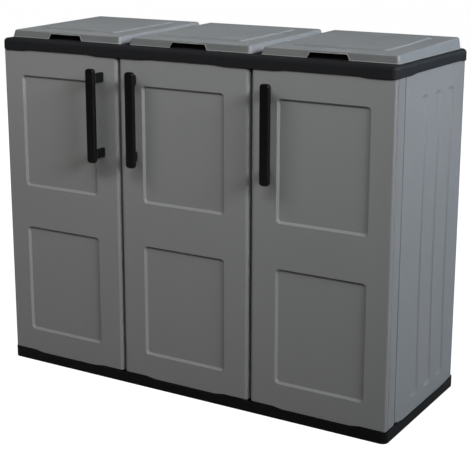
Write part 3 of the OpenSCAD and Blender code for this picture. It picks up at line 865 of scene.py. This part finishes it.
@dataclass
class BarHandle:
    """Upright bar on two grooved arms beside it, in place of the handle's solid.

    Its place and length come from the solid's box.

    Attributes:
        side: Bay of the door that it belongs to.
        bar_w: Width of the bar.
        bar_d: Depth of the bar.
        end_r: Radius of the bar's corners, seen from the front.
        end_steps: Number of strips across such a corner.
        edge_r: Radius of the bar's front and back edges.
        edge_steps: Number of strips across such an edge.
        arm_pitch: Distance between the middles of the arms.
        arm_h: Height of an arm.
        arm_t: Thickness of an arm.
        arm_r: Radius of an arm's long edges.
        arm_steps: Number of strips across such an edge.
        grooves: Number of grooves in the side of an arm.
        groove_w: Width of a groove.
        groove_depth: Depth of a groove.
        groove_margin: Flat length at both ends of a groove.
    """

    side: Side
    bar_w: float = 23 * MM
    bar_d: float = 12 * MM
    end_r: float = 7 * MM
    end_steps: int = 8
    edge_r: float = 3.6 * MM
    edge_steps: int = 5
    arm_pitch: float = 174 * MM
    arm_h: float = 22 * MM
    arm_t: float = 9 * MM
    arm_r: float = 1.8 * MM
    arm_steps: int = 3
    grooves: int = 3
    groove_w: float = 2.2 * MM
    groove_depth: float = 0.9 * MM
    groove_margin: float = 3 * MM

    def build(self) -> bpy.types.Object:
        """Builds the handle and lets it stand for its solid.

        Returns:
            The new piece.
        """
        node = f"handle_{self.side.value}"
        low, high = (Vector(corner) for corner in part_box(node))
        arms_right = self.side is Side.LEFT
        bar_x = low.x if arms_right else high.x - self.bar_w
        arm_x = high.x - self.arm_t if arms_right else low.x
        arm_y = low.y + self.bar_d / 2
        middle = (low.z + high.z) / 2
        parts = [self._bar(Vector((bar_x, low.y, low.z)), high.z)]
        parts += [self._arm(Vector((arm_x, arm_y, middle + up * self.arm_pitch / 2)), high.y)
                  for up in (-1, 1)]
        piece = new_piece(f"{node}_moulding", joined(parts))
        smooth_by_weight(piece)
        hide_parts(node)
        return piece

    def _bar(self, low: Vector, top: float) -> bmesh.types.BMesh:
        """Makes the bar.

        Args:
            low: Lowest corner of the bar.
            top: Level of its upper end.

        Returns:
            The bar.
        """
        mesh = block(low, Vector((low.x + self.bar_w, low.y + self.bar_d, top)))
        round_edges(mesh, filter(runs_in_depth, mesh.edges), self.end_r, self.end_steps)
        rims = [edge for edge in mesh.edges if not runs_in_depth(edge)]
        round_edges(mesh, rims, self.edge_r, self.edge_steps)
        return mesh

    def _arm(self, start: Vector, door_y: float) -> bmesh.types.BMesh:
        """Makes an arm with its grooves.

        Args:
            start: Middle of the arm's left edge, inside the bar.
            door_y: Where the arm meets the door.

        Returns:
            The arm.
        """
        half = Vector((0.0, 0.0, self.arm_h / 2))
        mesh = block(start - half, Vector((start.x + self.arm_t, door_y, start.z)) + half)
        round_edges(mesh, filter(runs_in_depth, mesh.edges), self.arm_r, self.arm_steps)
        first = start.y + self.bar_d / 2 + self.groove_margin
        last = door_y - self.groove_margin
        pitch = self.arm_h / (self.grooves + 1)
        levels = [start.z + pitch * (k - (self.grooves - 1) / 2) for k in range(self.grooves)]
        cuts = [(Vector((0, y, 0)), Vector((0, 1, 0))) for y in (first, last)]
        cuts += [(Vector((0, 0, z + s * self.groove_w / 2)), Vector((0, 0, 1)))
                 for z in levels for s in (-1, 1)]
        for place, across in cuts:
            bmesh.ops.bisect_plane(mesh, geom=[*mesh.verts, *mesh.edges, *mesh.faces],
                                   plane_co=place, plane_no=across)
        mesh.normal_update()
        floors = []
        for face in mesh.faces:
            middle = face.calc_center_median()
            if (abs(face.normal.x) > PARALLEL and first < middle.y < last
                    and any(abs(middle.z - z) < self.groove_w / 2 for z in levels)):
                floors.append(face)
        for face in bmesh.ops.extrude_discrete_faces(mesh, faces=floors)["faces"]:
            bmesh.ops.translate(mesh, verts=face.verts, vec=-face.normal * self.groove_depth)
        return mesh


def strand(name: str, places: list[Vector], radius: float) -> bpy.types.Object:
    """Makes a round strand along a path.

    Args:
        name: Name of the piece.
        places: Points of the path.
        radius: Radius of the strand.

    Returns:
        The strand as a mesh object at the origin.
    """
    curve = bpy.data.curves.new(name, "CURVE")
    curve.dimensions = "3D"
    curve.bevel_depth = radius
    curve.bevel_resolution = 2
    curve.use_fill_caps = True
    spline = curve.splines.new("POLY")
    spline.points.add(len(places) - 1)
    for knot, place in zip(spline.points, places):
        knot.co = (*place, 1.0)
    path = bpy.data.objects.new(f"{name}_path", curve)
    piece = bpy.data.objects.new(name, bpy.data.meshes.new_from_object(path))
    bpy.data.objects.remove(path)
    bpy.data.curves.remove(curve)
    bpy.context.scene.collection.objects.link(piece)
    piece.data.shade_smooth()
    return piece


@dataclass
class LidRim:
    """Fine bead along a lid's lower edge, which turns up round the finger notch.

    Its place and length come from the lid's box.

    Attributes:
        side: Bay of the lid.
        radius: Radius of the bead.
        proud: How far the bead stands out of the wall.
        corner_r: Radius of the lid's upright corners.
        corner_steps: Number of straight pieces in a corner.
        side_length: Length of the bead along each side wall.
        notch_w: Width of the notch at the lower edge.
        notch_h: Height of the notch.
        notch_slant: How far the ends of the notch lean inwards.
        lean: How far the wall leans back over the height lean_h.
        lean_h: That height.
    """

    side: Side
    radius: float = 1.0 * MM
    proud: float = 0.6 * MM
    corner_r: float = 7 * MM
    corner_steps: int = 6
    side_length: float = 300 * MM
    notch_w: float = 99 * MM
    notch_h: float = 12 * MM
    notch_slant: float = 6.5 * MM
    lean: float = 2.5 * MM
    lean_h: float = 12.2 * MM

    def build(self) -> bpy.types.Object:
        """Builds the bead.

        Returns:
            The new piece.
        """
        low, high = (Vector(corner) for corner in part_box(f"lid_{self.side.value}"))
        inset = self.radius - self.proud
        first = Vector((low.x + inset, low.y + inset, low.z + self.radius))
        last_x = high.x - inset
        middle = (low.x + high.x) / 2
        half = self.notch_w / 2
        path = [Vector((first.x, first.y + self.side_length, first.z))]
        path += self._corner(first.x, first, 1)
        path += [Vector((middle + x, first.y + up * self.lean / self.lean_h, first.z + up))
                 for x, up in ((-half, 0.0), (self.notch_slant - half, self.notch_h),
                               (half - self.notch_slant, self.notch_h), (half, 0.0))]
        path += reversed(self._corner(last_x, first, -1))
        path.append(Vector((last_x, first.y + self.side_length, first.z)))
        return strand(f"lid_{self.side.value}_rim", path, self.radius)

    def _corner(self, x: float, front: Vector, inwards: int) -> list[Vector]:
        """Finds the points of a corner, from the side wall to the front wall.

        Args:
            x: Place of the side wall.
            front: Any point on the line of the front wall.
            inwards: Direction from the side wall to the middle, -1 or 1.

        Returns:
            The points.
        """
        turns = [math.pi / 2 * k / self.corner_steps for k in range(self.corner_steps + 1)]
        return [Vector((x + inwards * self.corner_r * (1 - math.cos(turn)),
                        front.y + self.corner_r * (1 - math.sin(turn)), front.z))
                for turn in turns]


@dataclass(frozen=True)
class SoftBox:
    """One rectangular lamp.

    Attributes:
        name: Name of the lamp.
        place: Where it hangs.
        aim: Point that it faces.
        size: Width and height.
        power: Power in watts.
        colour: Colour of the light.
        mirrored: Whether glossy surfaces show it.
        spread: Angle of its beam, in degrees.
    """

    name: str
    place: Triple
    aim: Triple
    size: tuple[float, float]
    power: float
    colour: Triple
    mirrored: bool = False
    spread: float = 180.0

    def build(self) -> None:
        """Makes the lamp."""
        data = bpy.data.lights.new(f"studio_{self.name}", "AREA")
        data.shape = "RECTANGLE"
        data.size, data.size_y = self.size
        data.energy = self.power
        data.color = self.colour
        data.spread = math.radians(self.spread)
        lamp = bpy.data.objects.new(f"studio_{self.name}", data)
        lamp.visible_glossy = self.mirrored
        facing = (Vector(self.aim) - Vector(self.place)).to_track_quat("-Z", "Y")
        lamp.matrix_world = Matrix.Translation(self.place) @ facing.to_matrix().to_4x4()
        bpy.context.scene.collection.objects.link(lamp)


@dataclass(frozen=True)
class Studio:
    """Pale floor, soft lights and a camera at the photograph's angle.

    Attributes:
        camera_place: Where the camera stands.
        yaw: Its turn about the upright axis, in degrees.
        pitch: How far it looks down, in degrees.
        roll: Its turn about its own line of sight, in degrees.
        lens: Focal length in millimetres.
        sensor: Width of the sensor in millimetres.
        shift: Sideways and upward shift, in widths of the picture.
        clip: Nearest and farthest distance that it sees.
        floor_half: Half the width of the floor.
        floor_bounce: Colour of the floor as a source of light.
        floor_mirrored: Colour of the floor in glossy surfaces.
        floor_seen: Colour of the floor to the camera.
        floor_glow: Brightness added to the floor that the camera sees.
        surroundings: Colour of the surroundings as a source of light.
        surroundings_mirrored: Colour of the surroundings in glossy surfaces.
        lamps: The lamps.
    """

    camera_place: Triple = (1.4359, -2.3374, 1.0904)
    yaw: float = 30.366
    pitch: float = 13.453
    roll: float = 0.282
    lens: float = 91.07
    sensor: float = 36.0
    shift: tuple[float, float] = (-0.0358, -0.08)
    clip: tuple[float, float] = (0.05, 60.0)
    floor_half: float = 12.0
    floor_bounce: Rgba = (0.1, 0.096, 0.09, 1.0)
    floor_mirrored: Rgba = (0.35, 0.35, 0.35, 1.0)
    floor_seen: Rgba = (0.12, 0.12, 0.12, 1.0)
    floor_glow: float = 0.99
    surroundings: Rgba = (0.03, 0.03, 0.03, 1.0)
    surroundings_mirrored: Rgba = (0.06, 0.06, 0.06, 1.0)
    lamps: tuple[SoftBox, ...] = (
        SoftBox("main", place=(4.8, -1.5, 2.9), aim=(-0.1, 0.0, 1.4), size=(3.0, 1.4), power=39.5,
                colour=(1.0, 0.965, 1.0), mirrored=True, spread=52.0),
        SoftBox("back", place=(2.6, 1.8, 2.1), aim=(0.3, 0.0, 0.5), size=(1.6, 1.6), power=50.0,
                colour=(0.62, 0.82, 1.0), mirrored=True),
        SoftBox("left", place=(-1.3, -1.9, 1.5), aim=(-0.2, 0.0, 0.45), size=(1.6, 0.6),
                power=3.0, colour=(1.0, 0.6, 0.4)),
        SoftBox("rear", place=(-3.7, 1.7, 2.0), aim=(-0.1, 0.0, 0.45), size=(2.0, 1.6),
                power=110.0, colour=(0.95, 1.0, 1.0)),
        SoftBox("high", place=(-0.2, -1.5, 2.1), aim=(0.0, 0.0, 0.6), size=(2.6, 0.6),
                power=33.5, colour=(0.97, 1.0, 0.96)))

    def build(self) -> None:
        """Builds everything of the studio."""
        self._camera()
        self._floor()
        self._world()
        for lamp in self.lamps:
            lamp.build()
        bpy.context.scene.view_settings.view_transform = "Standard"
        log.info("studio ready")

    def _camera(self) -> None:
        """Makes the camera and hands it to the scene."""
        data = bpy.data.cameras.new("studio_camera")
        data.lens = self.lens
        data.sensor_width = self.sensor
        data.shift_x, data.shift_y = self.shift
        data.clip_start, data.clip_end = self.clip
        camera = bpy.data.objects.new("studio_camera", data)
        turn = (Matrix.Rotation(math.radians(self.yaw), 4, "Z")
                @ Matrix.Rotation(math.radians(90.0 - self.pitch), 4, "X")
                @ Matrix.Rotation(math.radians(self.roll), 4, "Z"))
        camera.matrix_world = Matrix.Translation(self.camera_place) @ turn
        bpy.context.scene.collection.objects.link(camera)
        bpy.context.scene.camera = camera

    def _floor(self) -> None:
        """Makes the floor, which a camera sees as nearly white."""
        mesh = bmesh.new()
        bmesh.ops.create_grid(mesh, x_segments=1, y_segments=1, size=self.floor_half)
        floor = new_piece("studio_floor", mesh)
        made, graph = new_material("studio_floor")
        path = graph.add("LightPath").outputs
        seen = path["Is Camera Ray"]
        mirrored = graph.mix(path["Is Glossy Ray"], self.floor_bounce, self.floor_mirrored)
        matt = graph.add("BsdfDiffuse", {"Color": graph.mix(seen, mirrored, self.floor_seen)})
        glow = graph.add("Emission", {"Color": WHITE,
                                      "Strength": graph.times(seen, self.floor_glow)})
        graph.output(graph.add("AddShader", {0: matt.outputs[0], 1: glow.outputs[0]}))
        floor.data.materials.append(made)

    def _world(self) -> None:
        """Makes the surroundings: white to the eye, an even dark grey as light."""
        world = bpy.data.worlds.new("studio_world")
        world.use_nodes = True
        graph = Graph(world.node_tree)
        path = graph.add("LightPath").outputs
        seen = graph.math("MAXIMUM", path["Is Camera Ray"], path["Is Transmission Ray"])
        mirrored = graph.mix(path["Is Glossy Ray"], self.surroundings, self.surroundings_mirrored)
        glow = graph.add("Background", {"Color": graph.mix(seen, mirrored, WHITE),
                                        "Strength": 1.0})
        graph.output(glow, "OutputWorld")
        bpy.context.scene.world = world


@dataclass
class Carcass:
    """Base, top frame, panels, dividers, pins and magnets: everything that stands still.

    Attributes:
        frame_radius: Rounding of the base and the top frame.
        frame_sharp: Least angle whose edge is rounded on them, in degrees.
        panel_radius: Rounding of the panels and dividers.
    """

    frame_radius: float = 0.7 * MM
    frame_sharp: float = 30.0
    panel_radius: float = 1.0 * MM

    def build(self, finishes: Finishes) -> None:
        """Builds and dresses the carcass.

        Args:
            finishes: Finishes of the cabinet.
        """
        for node, finish in (("base_tray", finishes.base_black),
                             ("top_frame", finishes.frame_black)):
            piece = SoftMoulding(node, self.frame_radius, sharp=self.frame_sharp).build()
            finishes.dress(piece, finish, CABINET)
        ends = (Side.LEFT.value, Side.RIGHT.value)
        plan = [(LippedPanel, f"side_panel_{end}", finishes.panel_grey) for end in ends]
        plan += [(SoftMoulding, f"back_panel_{side.value}", finishes.panel_grey) for side in Side]
        plan += [(SoftMoulding, f"divider_{end}", finishes.inside_grey) for end in ends]
        for kind, node, finish in plan:
            finishes.dress(kind(node, self.panel_radius).build(), finish, CABINET)
        for node in ("door_pivot_pins", "base_screws", "lid_hinge_pins"):
            finishes.repaint(node, finishes.steel)
        finishes.repaint("catch_magnets", finishes.ferrite)


@dataclass
class Door:
    """One door with its liner, handle, screws and strike plate.

    Attributes:
        side: Bay of the door.
        radius: Rounding of the door's moulded edges.
        segments: Number of strips across that rounding.
    """

    side: Side
    radius: float = 1.2 * MM
    segments: int = 3

    def build(self, finishes: Finishes) -> None:
        """Builds and dresses the door.

        Args:
            finishes: Finishes of the cabinet.
        """
        name, body = self.side.value, self.side.door_body
        moulding = SoftMoulding(f"door_{name}", self.radius, self.segments).build()
        finishes.dress(moulding, finishes.door_grey, body)
        finishes.dress(SoftMoulding(f"door_liner_{name}").build(), finishes.inside_grey, body)
        finishes.dress(BarHandle(self.side).build(), finishes.handle_black, body)
        finishes.repaint(f"handle_screws_{name}", finishes.steel)
        finishes.repaint(f"strike_plate_{name}", finishes.steel)


@dataclass
class Lid:
    """One lid and the bag ring under it.

    Attributes:
        side: Bay of the lid.
    """

    side: Side

    def build(self, finishes: Finishes) -> None:
        """Builds and dresses the lid and the ring.

        Args:
            finishes: Finishes of the cabinet.
        """
        name, body = self.side.value, self.side.lid_body
        finishes.dress(SoftMoulding(f"lid_{name}").build(), finishes.lid_grey, body)
        finishes.dress(LidRim(self.side).build(), finishes.rim_grey, body)
        finishes.dress(SoftMoulding(f"bag_ring_{name}").build(), finishes.ring_black, CABINET)


def main() -> None:
    """Builds the studio and the cabinet."""
    logging.basicConfig(level=logging.INFO, format="%(name)s: %(message)s")
    Studio().build()
    finishes = Finishes()
    Carcass().build(finishes)
    for side in Side:
        Door(side).build(finishes)
        Lid(side).build(finishes)


if __name__ == "__main__":
    main()
